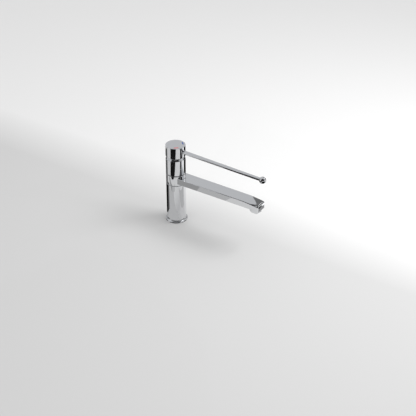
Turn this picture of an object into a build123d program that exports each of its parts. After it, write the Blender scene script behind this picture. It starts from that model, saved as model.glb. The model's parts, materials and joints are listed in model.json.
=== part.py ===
from build123d import *
import os
from math import cos, radians, sin, sqrt

# Elbow lever basin mixer: a plated pillar with a swivelling flat spout and a
# long ball-ended lever on a tilting head. Millimetres, +Z up. The origin is the
# middle of the foot on the deck, and the spout and the lever point along +X.

os.makedirs("parts", exist_ok=True)

# Fits and shared allowances
slip = 0.05               # radial gap between pieces that are pushed together
running = 0.08            # radial gap where one piece turns in another
glide_gap = 0.05          # height left for a film of grease on a gliding face
overrun = 1.0             # how far a cutting shape passes the face it cuts

# Radii, from the cartridge outwards
cartridge_radius = 17.4   # 35 mm standard cartridge
cartridge_room = 0.2      # between the cartridge and its cup
cup_wall = 2.5            # brass around the cup
plated_wall = 2.9         # plated pieces over the brass core

cup_bore = cartridge_radius + cartridge_room
core_radius = cup_bore + cup_wall
body_radius = core_radius + plated_wall

# Pillar, spout ring and sleeve, from the deck upwards
shell_height = 100.5
glide_height = 1.2
ring_height = 24.2
sleeve_height = 38.8
sleeve_chamfer = 0.5
edge_break = 0.3          # small chamfer on turned edges
groove_chamfer = 0.9      # wider chamfer beside the groove above the spout
groove_depth = 1.7        # from the sleeve's face to the ring in the groove

ring_base = shell_height + glide_height + glide_gap
ring_top = ring_base + ring_height
sleeve_base = ring_top + glide_gap + glide_height
sleeve_top = sleeve_base + sleeve_height

# Base ring and its gasket
flange_width = 3.2        # beyond the pillar
flange_rim = 2.2          # upright edge of the ring
flange_shoulder = 1.2     # rounded corner above that edge
flange_height = 6.4
flare_radius = 2.6        # hollow curve that leads into the pillar
gasket_inset = 0.9        # from both edges of the base ring
gasket_height = 1.2

# Brass core: foot, two risers, waterways and cartridge cup
foot_height = 14.0
block_base = 86.0
riser_radius = 6.0
waterway_radius = 3.0
inlet_x = 3.0
inlet_y = 9.0
inlet_thread_radius = 4.5
inlet_thread_depth = 12.0
outlet_x = -8.0
outlet_radius = 3.4
outlet_port_height = 114.0
water_groove_height = 7.0
water_groove_depth = 1.8
o_ring_section = 0.95     # radius of the rubber section
o_ring_side_room = 0.25
o_ring_inset = 3.4        # from the end of the spout ring to the ring's centre
cup_floor_rise = 1.8      # above the lower end of the sleeve
cup_floor = sleeve_base + cup_floor_rise
cup_depth = 33.0
cup_top = cup_floor + cup_depth

# Fixing below the deck
stud_radius = 4.0
stud_x = -12.0
stud_engagement = 11.0
stud_hang = 58.0
deck_thickness = 18.0
washer_radius = 26.0
washer_height = 3.0
plate_height = 2.5
slot_half_width = 15.4
slot_start = -6.6         # closed end of the horseshoe slot
slot_corner = 4.0
nut_flats = 13.0
nut_height = 12.0
stud_chamfer = 0.8

# Spout bar and outlet
bar_reach = 229.0
bar_height = 15.0
bar_root_width = 34.1
bar_tip_width = 31.8
bar_corner = 4.0          # plan radius of the two tip corners
nose_length = 50.0        # stretch over which the top falls away
nose_drop = 2.6           # fall of the middle of the top at the tip
nose_crown = 2.2          # further fall of its edges
nose_round = 5.0          # front of the tip, seen from the side
side_trim = 0.1           # bar is lofted this much wider, then trimmed to its outline
flat_crown = 0.02         # the flat stretch is as good as flat
bar_wall = 3.0
outlet_inset = 14.2       # outlet's centre, back from the tip
boss_radius = 13.8
boss_height = 6.65        # from the underside of the bar
block_length = 16.5       # full-width block in front of the round boss
aerator_bore = 12.0

# Aerator
aerator_rim_radius = 13.4
aerator_rim_height = 1.1
aerator_thread_height = 7.6
aerator_wall = 1.9
aerator_seal_height = 1.4
jet_radius = 0.75
jet_pitch = 2.7
jet_rings = 3             # round a middle jet
jets_per_ring = 6         # more jets in each ring than in the one inside it
jet_plate = 2.0
insert_wall = 1.0
insert_recess = 0.8

# Cartridge, from the cup floor upwards
seal_outer = 4.4
seal_inner = 3.1
seal_height = 1.4
base_height = 5.0
disc_height = 3.4
fixed_disc_room = 0.3     # between the fixed disc and the housing
moving_disc_step = 1.5    # moving disc's edge, in from the fixed one's
port_radius = 2.6
mixing_radius = 8.8
mixing_depth = 1.8
mixing_offset = -3.9
carrier_step = 1.8        # carrier's edge, in from the moving disc's
carrier_height = 3.2
carrier_lug = 2.4
carrier_lug_depth = 1.2
rotor_gap = 0.3
rotor_flange_room = 0.6   # between the rotor's flange and the housing
rotor_flange_height = 3.2
rotor_neck_radius = 10.8
housing_wall = 1.8
housing_height = 24.0
rotor_top_below_cup = 1.5
nut_ring_height = 4.0
nut_ring_bore = 12.6
nut_ring_notch = 3.0
nut_ring_notches = 4

# Lever stem and its pivot
pivot_depth = 16.0        # below the top of the sleeve
lift_angle = 20.0         # travel of the lever, degrees
pin_radius = 1.5
pin_half_length = 9.3
stem_thickness = 7.0      # along the lever
stem_width = 6.0          # across the lever
stem_shoulder = 2.8       # below the pivot, where the tongue starts
stem_reach = 40.0         # above the pivot
tongue_thickness = 3.4
tongue_width = 3.6
tongue_end_gap = 0.4      # between the tongue and the moving disc
slot_room = 0.8           # play of the tongue along the slide
stem_room = 0.15          # play of the stem between the rotor's cheeks
rotor_slot_back = 8.4
rotor_slot_front = 4.6

# Dome under the head
dome_swell = 4.85         # radius of the dome's sphere beyond the pillar's
dome_wall = 1.5
dome_opening = 15.0
spigot_height = 2.6
spigot_wall = 1.8

# Head
head_gap = 4.3            # head's lower edge above the sleeve's top
head_height = 28.7
head_wall = 2.7
head_lip = 2.1            # slanted lower edge, measured along the radius
head_lip_height = 2.4
head_top_chamfer = 0.9
head_roof = 4.5
hub_radius = 9.6
hub_above_pivot = 29.6
socket_depth = 11.0

# Hot and cold marks
mark_length = 10.6
mark_width = 2.7
mark_depth = 0.5
mark_inset = 5.8          # middle of a mark, in from the head's side
mark_angle = 50.0

# Lever
rod_height = 36.1         # lever axis above the pivot, at the middle of the head
rod_droop = 1.56          # degrees below level
rod_root_radius = 4.66
rod_tip_radius = 3.86
rod_seat_depth = 1.8
rod_spigot_radius = 3.0
rod_spigot_length = 11.0
rod_boss_radius = 7.4
ball_radius = 7.9
ball_reach = 228.6
ball_seat = 5.4
ball_spigot_radius = 2.4
ball_spigot_length = 6.0

# Grub screw and its plug at the back of the head
grub_radius = 2.5
grub_length = 8.0
grub_hex = 2.5
grub_hex_depth = 3.0
grub_boss_radius = 4.6
plug_length = 2.5
plug_flange = 0.6
plug_cap_radius = 3.1

# Places worked out from the sizes above
flange_radius = body_radius + flange_width
gasket_inner = body_radius + gasket_inset
gasket_outer = flange_radius - gasket_inset
housing_bore = cartridge_radius - housing_wall
fixed_disc_radius = housing_bore - fixed_disc_room
moving_disc_radius = fixed_disc_radius - moving_disc_step
carrier_radius = moving_disc_radius - carrier_step
rotor_flange_radius = housing_bore - rotor_flange_room
dome_radius = body_radius + dome_swell
mark_place_radius = body_radius - mark_inset
shell_bore = core_radius + slip
spout_bore = core_radius + running
pivot_height = sleeve_top - pivot_depth
head_base = sleeve_top + head_gap
head_top = head_base + head_height
head_bore = body_radius - head_wall
outlet_reach = bar_reach - outlet_inset
bar_middle = ring_base + ring_height / 2
bar_top = bar_middle + bar_height / 2
bar_bottom = bar_middle - bar_height / 2
boss_bottom = bar_bottom - boss_height
channel_top = bar_top - bar_wall - nose_drop
channel_bottom = bar_bottom + bar_wall
base_top = cup_floor + base_height
moving_disc_base = base_top + disc_height + glide_gap
carrier_base = moving_disc_base + disc_height
rotor_base = carrier_base + carrier_height + rotor_gap
housing_top = base_top + housing_height
slide_arm = pivot_height - carrier_base - carrier_height / 2
slide_travel = slide_arm * radians(lift_angle)
slider_x = -slide_travel / 2


def save(piece, label):
    """Name a finished piece and write it out."""
    piece.part.label = label
    export_step(piece.part, f"parts/{label}.step")


# Brass core
with BuildPart() as tap_core:
    with BuildSketch(Plane.XY):
        Circle(core_radius)
    extrude(amount=foot_height)
    with BuildSketch(Plane.XY.offset(foot_height)):
        with Locations((inlet_x, inlet_y), (inlet_x, -inlet_y)):
            Circle(riser_radius)
    extrude(amount=block_base - foot_height)
    with BuildSketch(Plane.XY.offset(block_base)):
        Circle(core_radius)
    extrude(amount=cup_top - block_base)
    # The cup that takes the cartridge
    with BuildSketch(Plane.XY.offset(cup_floor)):
        Circle(cup_bore)
    extrude(amount=cup_top - cup_floor, mode=Mode.SUBTRACT)
    # Hot and cold waterways, with their threaded mouths in the foot
    with BuildSketch(Plane.XY):
        with Locations((inlet_x, inlet_y), (inlet_x, -inlet_y)):
            Circle(waterway_radius)
    extrude(amount=cup_floor, mode=Mode.SUBTRACT)
    with BuildSketch(Plane.XY):
        with Locations((inlet_x, inlet_y), (inlet_x, -inlet_y)):
            Circle(inlet_thread_radius)
    extrude(amount=inlet_thread_depth, mode=Mode.SUBTRACT)
    # Mixed water runs down one passage, out at the back and round the groove
    with BuildSketch(Plane.XY.offset(outlet_port_height - outlet_radius)):
        with Locations((outlet_x, 0)):
            Circle(outlet_radius)
    extrude(amount=cup_floor - outlet_port_height + outlet_radius, mode=Mode.SUBTRACT)
    with BuildSketch(Plane.YZ.offset(outlet_x)):
        with Locations((0, outlet_port_height)):
            Circle(outlet_radius - slip)
    extrude(amount=-core_radius, mode=Mode.SUBTRACT)
    with BuildSketch(Plane.XY.offset(outlet_port_height - water_groove_height / 2)):
        Circle(core_radius + overrun)
        Circle(core_radius - water_groove_depth, mode=Mode.SUBTRACT)
    extrude(amount=water_groove_height, mode=Mode.SUBTRACT)
    # Grooves for the two spout seals
    o_ring_heights = (ring_base + o_ring_inset, ring_top - o_ring_inset)
    for groove_middle in o_ring_heights:
        with BuildSketch(Plane.XY.offset(groove_middle - o_ring_section - o_ring_side_room)):
            Circle(core_radius + overrun)
            Circle(core_radius - 2 * o_ring_section, mode=Mode.SUBTRACT)
        extrude(amount=2 * (o_ring_section + o_ring_side_room), mode=Mode.SUBTRACT)
    # Threaded hole for the fixing stud
    with BuildSketch(Plane.XY):
        with Locations((stud_x, 0)):
            Circle(stud_radius + slip)
    extrude(amount=stud_engagement, mode=Mode.SUBTRACT)
save(tap_core, "tap_core")

# Plated pillar shell around the core
with BuildPart() as pillar_shell:
    with BuildSketch(Plane.XY):
        Circle(body_radius)
        Circle(shell_bore, mode=Mode.SUBTRACT)
    extrude(amount=shell_height)
    chamfer(pillar_shell.edges().group_by(Axis.Z)[-1].sort_by(SortBy.RADIUS)[-1], edge_break)
save(pillar_shell, "pillar_shell")

# Base ring, turned with a rounded shoulder and a hollow flare
with BuildPart() as base_ring:
    ring_inner = body_radius + slip
    with BuildSketch(Plane.XZ):
        with BuildLine():
            shoulder_top = flange_rim + flange_shoulder
            flare_start = ring_inner + flange_shoulder / 4
            Line((ring_inner, 0), (flange_radius, 0))
            Line((flange_radius, 0), (flange_radius, flange_rim))
            RadiusArc(
                (flange_radius, flange_rim),
                (flange_radius - flange_shoulder, shoulder_top),
                -flange_shoulder,
            )
            RadiusArc(
                (flange_radius - flange_shoulder, shoulder_top),
                (flare_start, flange_height),
                flare_radius,
            )
            Line((flare_start, flange_height), (ring_inner, flange_height))
            Line((ring_inner, flange_height), (ring_inner, 0))
        make_face()
    revolve(axis=Axis.Z)
    with BuildSketch(Plane.XY):
        Circle(gasket_outer)
        Circle(gasket_inner, mode=Mode.SUBTRACT)
    extrude(amount=gasket_height, mode=Mode.SUBTRACT)
save(base_ring, "base_ring")

# Gasket flush in the groove under the base ring
with BuildPart() as base_gasket:
    with BuildSketch(Plane.XY):
        Circle(gasket_outer - slip)
        Circle(gasket_inner + slip, mode=Mode.SUBTRACT)
    extrude(amount=gasket_height)
save(base_gasket, "base_gasket")


def glide_ring(base, outer):
    """Flat plastic ring that a turning face glides on."""
    with BuildPart() as ring:
        with BuildSketch(Plane.XY.offset(base)):
            Circle(outer)
            Circle(core_radius + slip, mode=Mode.SUBTRACT)
        extrude(amount=glide_height)
    return ring


# Glide rings below and above the spout
lower_glide_ring = glide_ring(shell_height, body_radius - edge_break)
save(lower_glide_ring, "lower_glide_ring")
upper_glide_ring = glide_ring(sleeve_base - glide_height, body_radius - groove_depth)
save(upper_glide_ring, "upper_glide_ring")


def o_ring(middle):
    """Round rubber ring lying in its groove on the core."""
    with BuildPart() as ring:
        with BuildSketch(Plane.XZ):
            with Locations((core_radius - o_ring_section, middle)):
                Circle(o_ring_section)
        revolve(axis=Axis.Z)
    return ring


# Spout seals
lower_o_ring = o_ring(o_ring_heights[0])
save(lower_o_ring, "lower_o_ring")
upper_o_ring = o_ring(o_ring_heights[1])
save(upper_o_ring, "upper_o_ring")


def bar_half_width(reach):
    """Half width of the tapered bar at a distance from the axis."""
    return (bar_root_width + (bar_tip_width - bar_root_width) * reach / bar_reach) / 2


def bar_section(reach, fall, crown):
    """Upright section of the bar: flat below, with a shallow crown on top."""
    half = bar_half_width(reach) + side_trim
    shoulder = bar_top - fall - crown
    with BuildSketch(Plane.YZ.offset(reach)) as section:
        with BuildLine():
            Polyline((half, shoulder), (half, bar_bottom), (-half, bar_bottom), (-half, shoulder))
            ThreePointArc((-half, shoulder), (0, bar_top - fall), (half, shoulder))
        make_face()
    return section.sketch


# Spout: ring, flat bar with a falling nose, outlet boss and waterway
nose_start = bar_reach - nose_length
nose_lead_shares = (-1.0, -0.5, 0.0, 0.25, 0.5, 0.75, 1.04)    # the last section lies past the tip
with BuildPart() as spout:
    loft([bar_section(0, 0, flat_crown), bar_section(nose_start - nose_length, 0, flat_crown)], ruled=True)
    nose_sections = []
    for share in nose_lead_shares:
        fall_share = max(share, 0) ** 2
        nose_sections.append(
            bar_section(
                nose_start + share * nose_length,
                fall_share * nose_drop,
                flat_crown + fall_share * nose_crown,
            )
        )
    loft(nose_sections)
    # Outlet block across the tip
    with BuildSketch(Plane.XY.offset(boss_bottom)):
        with Locations((bar_reach - block_length, 0)):
            Rectangle(block_length + overrun, bar_root_width, align=(Align.MIN, Align.CENTER))
    extrude(amount=boss_height + bar_wall)
    # Outline of bar and block, seen from above
    with BuildSketch(Plane.XY.offset(boss_bottom - overrun)):
        with BuildLine():
            root_half = bar_half_width(0)
            tip_half = bar_half_width(bar_reach)
            Polyline((0, root_half), (bar_reach, tip_half), (bar_reach, -tip_half), (0, -root_half), close=True)
        outline = make_face()
        fillet(outline.vertices().group_by(Axis.X)[-1], bar_corner)
    extrude(amount=boss_height + bar_height + 2 * overrun, mode=Mode.INTERSECT)
    # Rounded front of the tip, seen from the side
    round_start = bar_reach - nose_round
    round_top = bar_top - nose_drop * (1 - nose_round / nose_length) ** 2
    with BuildSketch(Plane.XZ):
        with BuildLine():
            CenterArc((round_start, round_top - nose_round), nose_round, 0, 90)
            Polyline(
                (round_start, round_top),
                (round_start, bar_top + overrun),
                (bar_reach + overrun, bar_top + overrun),
                (bar_reach + overrun, round_top - nose_round),
                (bar_reach, round_top - nose_round),
            )
        make_face()
    extrude(amount=bar_root_width, both=True, mode=Mode.SUBTRACT)
    # Ring around the core
    with BuildSketch(Plane.XY.offset(ring_base)):
        Circle(body_radius)
    extrude(amount=ring_height)
    # Round boss in and behind the block
    with BuildSketch(Plane.XY.offset(boss_bottom)):
        with Locations((outlet_reach, 0)):
            Circle(boss_radius)
    extrude(amount=boss_height + bar_wall)
    # Waterway, outlet thread and the bore that turns on the core
    with BuildSketch(Plane.XY.offset(channel_bottom)):
        with BuildLine():
            root_wall = bar_half_width(0) - bar_wall
            tip_wall = bar_half_width(outlet_reach) - bar_wall
            Polyline((0, root_wall), (outlet_reach, tip_wall), (outlet_reach, -tip_wall), (0, -root_wall), close=True)
        make_face()
    extrude(amount=channel_top - channel_bottom, mode=Mode.SUBTRACT)
    with BuildSketch(Plane.XY.offset(boss_bottom)):
        with Locations((outlet_reach, 0)):
            Circle(aerator_bore)
    extrude(amount=channel_bottom - boss_bottom, mode=Mode.SUBTRACT)
    with BuildSketch(Plane.XY.offset(ring_base)):
        Circle(spout_bore)
    extrude(amount=ring_height, mode=Mode.SUBTRACT)
save(spout, "spout")

# Aerator seal, housing and jet insert in the outlet
insert_radius = aerator_bore - slip - aerator_wall - slip
rim_base = boss_bottom - aerator_rim_height
thread_top = boss_bottom + aerator_thread_height
with BuildPart() as aerator_housing:
    with BuildSketch(Plane.XY.offset(rim_base)):
        with Locations((outlet_reach, 0)):
            Circle(aerator_rim_radius)
    extrude(amount=aerator_rim_height)
    chamfer(aerator_housing.edges().group_by(Axis.Z)[0], edge_break)
    with BuildSketch(Plane.XY.offset(boss_bottom)):
        with Locations((outlet_reach, 0)):
            Circle(aerator_bore - slip)
    extrude(amount=aerator_thread_height)
    with BuildSketch(Plane.XY.offset(rim_base)):
        with Locations((outlet_reach, 0)):
            Circle(insert_radius + slip)
    extrude(amount=aerator_rim_height + aerator_thread_height, mode=Mode.SUBTRACT)
save(aerator_housing, "aerator_housing")

with BuildPart() as aerator_insert:
    insert_base = rim_base + insert_recess
    with BuildSketch(Plane.XY.offset(insert_base)):
        with Locations((outlet_reach, 0)):
            Circle(insert_radius)
    extrude(amount=thread_top - insert_base)
    with BuildSketch(Plane.XY.offset(insert_base + jet_plate)):
        with Locations((outlet_reach, 0)):
            Circle(insert_radius - insert_wall)
    extrude(amount=thread_top - insert_base - jet_plate, mode=Mode.SUBTRACT)
    # Rings of jets round a middle one
    with BuildSketch(Plane.XY.offset(insert_base)):
        with Locations((outlet_reach, 0)):
            Circle(jet_radius)
        for ring_number in range(1, jet_rings + 1):
            with Locations((outlet_reach, 0)):
                with PolarLocations(ring_number * jet_pitch, ring_number * jets_per_ring):
                    Circle(jet_radius)
    extrude(amount=jet_plate, mode=Mode.SUBTRACT)
save(aerator_insert, "aerator_insert")

with BuildPart() as aerator_seal:
    with BuildSketch(Plane.XY.offset(thread_top)):
        with Locations((outlet_reach, 0)):
            Circle(aerator_bore - 2 * slip)
            Circle(insert_radius - insert_wall, mode=Mode.SUBTRACT)
    extrude(amount=aerator_seal_height)
save(aerator_seal, "aerator_seal")

# Sleeve over the cartridge cup
with BuildPart() as upper_sleeve:
    with BuildSketch(Plane.XY.offset(sleeve_base)):
        Circle(body_radius)
        Circle(core_radius + slip, mode=Mode.SUBTRACT)
    extrude(amount=sleeve_height)
    chamfer(upper_sleeve.edges().group_by(Axis.Z)[-1].sort_by(SortBy.RADIUS)[-1], sleeve_chamfer)
    chamfer(upper_sleeve.edges().group_by(Axis.Z)[0].sort_by(SortBy.RADIUS)[-1], groove_chamfer)
save(upper_sleeve, "upper_sleeve")

# Dome that the head tilts over, centred on the lever pivot
with BuildPart() as dome_cap:
    opening_rise = sqrt(dome_radius**2 - dome_opening**2)
    inner_radius = dome_radius - dome_wall
    inner_opening_rise = sqrt(inner_radius**2 - dome_opening**2)
    rim_radius = sqrt(dome_radius**2 - pivot_depth**2)
    inner_seat = sqrt(inner_radius**2 - pivot_depth**2)
    spigot_radius = core_radius
    mid_rise = (pivot_depth + opening_rise) / 2
    inner_mid_rise = (pivot_depth + inner_opening_rise) / 2
    with BuildSketch(Plane.XZ):
        with BuildLine():
            Line((spigot_radius, sleeve_top), (rim_radius, sleeve_top))
            ThreePointArc(
                (rim_radius, sleeve_top),
                (sqrt(dome_radius**2 - mid_rise**2), pivot_height + mid_rise),
                (dome_opening, pivot_height + opening_rise),
            )
            Line((dome_opening, pivot_height + opening_rise), (dome_opening, pivot_height + inner_opening_rise))
            ThreePointArc(
                (dome_opening, pivot_height + inner_opening_rise),
                (sqrt(inner_radius**2 - inner_mid_rise**2) - spigot_wall / 2, pivot_height + inner_mid_rise),
                (spigot_radius - spigot_wall, sleeve_top),
            )
            Line((spigot_radius - spigot_wall, sleeve_top), (spigot_radius - spigot_wall, sleeve_top - spigot_height))
            Line((spigot_radius - spigot_wall, sleeve_top - spigot_height), (spigot_radius, sleeve_top - spigot_height))
            Line((spigot_radius, sleeve_top - spigot_height), (spigot_radius, sleeve_top))
        make_face()
    revolve(axis=Axis.Z)
save(dome_cap, "dome_cap")

# Three rubber seals between the cup floor and the cartridge
port_places = [(inlet_x, inlet_y), (inlet_x, -inlet_y), (outlet_x, 0)]
with BuildPart() as cartridge_seals:
    with BuildSketch(Plane.XY.offset(cup_floor)):
        with Locations(*port_places):
            Circle(seal_outer)
        with Locations(*port_places):
            Circle(seal_inner + (outlet_radius - waterway_radius), mode=Mode.SUBTRACT)
    extrude(amount=seal_height)
save(cartridge_seals, "cartridge_seals")

# Cartridge base with seal pockets below and ports through
with BuildPart() as cartridge_base:
    with BuildSketch(Plane.XY.offset(cup_floor)):
        Circle(cartridge_radius)
        with Locations(*port_places):
            Circle(port_radius, mode=Mode.SUBTRACT)
    extrude(amount=base_height)
    with BuildSketch(Plane.XY.offset(cup_floor)):
        with Locations(*port_places):
            Circle(seal_outer + slip)
    extrude(amount=seal_height, mode=Mode.SUBTRACT)
save(cartridge_base, "cartridge_base")

# Lower ceramic disc, keyed to the base
with BuildPart() as fixed_ceramic_disc:
    with BuildSketch(Plane.XY.offset(base_top)):
        Circle(fixed_disc_radius)
        with Locations(*port_places):
            Circle(port_radius, mode=Mode.SUBTRACT)
    extrude(amount=disc_height)
save(fixed_ceramic_disc, "fixed_ceramic_disc")

# Upper ceramic disc, with the mixing chamber in its underside
with BuildPart() as moving_ceramic_disc:
    with BuildSketch(Plane.XY.offset(moving_disc_base)):
        with Locations((slider_x, 0)):
            Circle(moving_disc_radius)
    extrude(amount=disc_height)
    with BuildSketch(Plane.XY.offset(moving_disc_base)):
        with Locations((slider_x + mixing_offset, 0)):
            Circle(mixing_radius)
    extrude(amount=mixing_depth, mode=Mode.SUBTRACT)
    # Notches that the carrier's lugs drive
    with BuildSketch(Plane.XY.offset(carrier_base)):
        with Locations((slider_x, carrier_radius - carrier_lug / 2), (slider_x, carrier_lug / 2 - carrier_radius)):
            Rectangle(carrier_lug + 2 * slip, carrier_lug + 2 * slip)
    extrude(amount=-carrier_lug_depth, mode=Mode.SUBTRACT)
save(moving_ceramic_disc, "moving_ceramic_disc")

# Carrier that the tongue of the lever pushes to and fro
with BuildPart() as disc_carrier:
    with BuildSketch(Plane.XY.offset(carrier_base)):
        with Locations((slider_x, 0)):
            Circle(carrier_radius)
        Rectangle(tongue_thickness + 2 * slot_room, tongue_width + 2 * stem_room, mode=Mode.SUBTRACT)
    extrude(amount=carrier_height)
    with BuildSketch(Plane.XY.offset(carrier_base)):
        with Locations((slider_x, carrier_radius - carrier_lug / 2), (slider_x, carrier_lug / 2 - carrier_radius)):
            Rectangle(carrier_lug, carrier_lug)
    extrude(amount=-carrier_lug_depth)
save(disc_carrier, "disc_carrier")

# Rotor that carries the lever's pivot pin
rotor_top = cup_top - rotor_top_below_cup
with BuildPart() as cartridge_rotor:
    with BuildSketch(Plane.XY.offset(rotor_base)):
        Circle(rotor_flange_radius)
    extrude(amount=rotor_flange_height)
    with BuildSketch(Plane.XY.offset(rotor_base)):
        Circle(rotor_neck_radius)
    extrude(amount=rotor_top - rotor_base)
    with BuildSketch(Plane.XY.offset(rotor_base)):
        with Locations(((rotor_slot_front - rotor_slot_back) / 2, 0)):
            Rectangle(rotor_slot_front + rotor_slot_back, stem_width + 2 * stem_room)
    extrude(amount=rotor_top - rotor_base, mode=Mode.SUBTRACT)
    with BuildSketch(Plane.XZ):
        with Locations((0, pivot_height)):
            Circle(pin_radius + slip)
    extrude(amount=rotor_neck_radius, both=True, mode=Mode.SUBTRACT)
save(cartridge_rotor, "cartridge_rotor")

with BuildPart() as stem_pin:
    with BuildSketch(Plane.XZ):
        with Locations((0, pivot_height)):
            Circle(pin_radius)
    extrude(amount=pin_half_length, both=True)
save(stem_pin, "stem_pin")

# Housing of the cartridge, stepped in over the rotor's flange
with BuildPart() as cartridge_housing:
    step_height = rotor_base + rotor_flange_height + rotor_gap
    with BuildSketch(Plane.XY.offset(base_top)):
        Circle(cartridge_radius)
        Circle(housing_bore, mode=Mode.SUBTRACT)
    extrude(amount=step_height - base_top)
    with BuildSketch(Plane.XY.offset(step_height)):
        Circle(cartridge_radius)
        Circle(rotor_neck_radius + running, mode=Mode.SUBTRACT)
    extrude(amount=housing_top - step_height)
save(cartridge_housing, "cartridge_housing")

# Ring nut that holds the cartridge down in its cup
with BuildPart() as cartridge_nut:
    with BuildSketch(Plane.XY.offset(housing_top)):
        Circle(cup_bore - slip)
        Circle(nut_ring_bore, mode=Mode.SUBTRACT)
        with PolarLocations(cup_bore, nut_ring_notches):
            Rectangle(nut_ring_notch, nut_ring_notch, mode=Mode.SUBTRACT)
    extrude(amount=nut_ring_height)
save(cartridge_nut, "cartridge_nut")

# Lever stem: square shank above, pivot bore and rounded tongue below
stem_top = pivot_height + stem_reach
tongue_bottom = carrier_base + tongue_end_gap
with BuildPart() as lever_stem:
    with BuildSketch(Plane.XY.offset(pivot_height - stem_shoulder)):
        Rectangle(stem_thickness, stem_width)
    extrude(amount=stem_reach + stem_shoulder)
    with BuildSketch(Plane.XY.offset(tongue_bottom)):
        Rectangle(tongue_thickness, tongue_width)
    extrude(amount=pivot_height - stem_shoulder - tongue_bottom)
    tongue_end = lever_stem.edges().filter_by(Axis.Y).group_by(Axis.Z)[0]
    fillet(tongue_end, tongue_thickness / 2 - slip)
    with BuildSketch(Plane.XZ):
        with Locations((0, pivot_height)):
            Circle(pin_radius + slip)
    extrude(amount=stem_width, both=True, mode=Mode.SUBTRACT)
save(lever_stem, "lever_stem")

# Lever axis, a little below level, and planes square to it
rod_axis = Vector(cos(radians(rod_droop)), 0, -sin(radians(rod_droop)))
rod_origin = Vector(0, 0, pivot_height + rod_height)


def across_rod(distance):
    """Plane square to the lever at a distance along it from the head's axis."""
    return Plane(origin=rod_origin + rod_axis * distance, x_dir=(0, 1, 0), z_dir=rod_axis)


# Head: cast cap with a boss for the stem and one for the lever
hub_base = pivot_height + hub_above_pivot
pocket_top = head_top - head_roof
rod_seat = body_radius - rod_seat_depth
with BuildPart() as head_cap:
    with BuildSketch(Plane.XY.offset(head_base)):
        Circle(body_radius)
    extrude(amount=head_height)
    chamfer(head_cap.edges().group_by(Axis.Z)[-1], head_top_chamfer)
    chamfer(head_cap.edges().group_by(Axis.Z)[0], length=head_lip_height, length2=head_lip,
            reference=head_cap.faces().filter_by(GeomType.CYLINDER)[0])
    with BuildSketch(Plane.XY.offset(head_base)):
        Circle(head_bore)
    extrude(amount=hub_base - head_base, mode=Mode.SUBTRACT)
    with BuildSketch(Plane.XY.offset(hub_base)):
        Circle(head_bore)
        Circle(hub_radius, mode=Mode.SUBTRACT)
    extrude(amount=pocket_top - hub_base, mode=Mode.SUBTRACT)
    # Bosses for the lever in front and the grub screw behind
    with BuildSketch(across_rod(hub_radius / 2)):
        Circle(rod_boss_radius)
    extrude(amount=head_bore + head_wall / 2 - hub_radius / 2)
    with BuildSketch(Plane(origin=rod_origin, x_dir=(0, 1, 0), z_dir=(-1, 0, 0)).offset(hub_radius / 2)):
        Circle(grub_boss_radius)
    extrude(amount=head_bore + head_wall / 2 - hub_radius / 2)
    # Square socket for the stem
    with BuildSketch(Plane.XY.offset(hub_base)):
        Rectangle(stem_thickness + 2 * slip, stem_width + 2 * slip)
    extrude(amount=socket_depth, mode=Mode.SUBTRACT)
    # Seat and threaded hole for the lever
    with BuildSketch(across_rod(rod_seat)):
        Circle(rod_root_radius + slip)
    extrude(amount=rod_seat_depth + overrun, mode=Mode.SUBTRACT)
    with BuildSketch(across_rod(rod_seat - rod_spigot_length)):
        Circle(rod_spigot_radius + slip)
    extrude(amount=rod_spigot_length, mode=Mode.SUBTRACT)
    # Threaded hole for the grub screw, with a wider mouth for its plug
    grub_plane = Plane(origin=rod_origin, x_dir=(0, 1, 0), z_dir=(-1, 0, 0))
    with BuildSketch(grub_plane):
        Circle(grub_radius + slip)
    extrude(amount=body_radius, mode=Mode.SUBTRACT)
    with BuildSketch(grub_plane.offset(body_radius - plug_flange)):
        Circle(plug_cap_radius + slip)
    extrude(amount=plug_flange + overrun, mode=Mode.SUBTRACT)
    # Shallow seats for the hot and cold marks
    for side in (1, -1):
        mark_direction = side * mark_angle
        mark_centre = (
            mark_place_radius * cos(radians(mark_direction)),
            mark_place_radius * sin(radians(mark_direction)),
        )
        with BuildSketch(Plane.XY.offset(head_top)):
            with Locations(Location(mark_centre, mark_direction)):
                Rectangle(mark_width + 2 * slip, mark_length + 2 * slip)
        extrude(amount=-mark_depth, mode=Mode.SUBTRACT)
save(head_cap, "head_cap")


def colour_mark(side):
    """Inlaid bar that lies along the rim of the head's flat top."""
    direction = side * mark_angle
    centre = (mark_place_radius * cos(radians(direction)), mark_place_radius * sin(radians(direction)))
    with BuildPart() as mark:
        with BuildSketch(Plane.XY.offset(head_top - mark_depth)):
            with Locations(Location(centre, direction)):
                Rectangle(mark_width, mark_length)
        extrude(amount=mark_depth)
    return mark


# Hot on the right of someone facing the spout, cold on the left
hot_mark = colour_mark(-1)
save(hot_mark, "hot_mark")
cold_mark = colour_mark(1)
save(cold_mark, "cold_mark")

# Lever rod, turned to a slight taper, with a threaded spigot at each end
ball_face = ball_reach - ball_seat
with BuildPart() as lever_rod:
    with BuildSketch(Plane(origin=rod_origin, x_dir=rod_axis, z_dir=(0, -1, 0))):
        with BuildLine():
            Polyline(
                (rod_seat - rod_spigot_length, 0),
                (rod_seat - rod_spigot_length, rod_spigot_radius),
                (rod_seat, rod_spigot_radius),
                (rod_seat, rod_root_radius),
                (ball_face, rod_tip_radius),
                (ball_face, ball_spigot_radius),
                (ball_face + ball_spigot_length, ball_spigot_radius),
                (ball_face + ball_spigot_length, 0),
                close=True,
            )
        make_face()
    revolve(axis=Axis(rod_origin, rod_axis))
save(lever_rod, "lever_rod")

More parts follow.
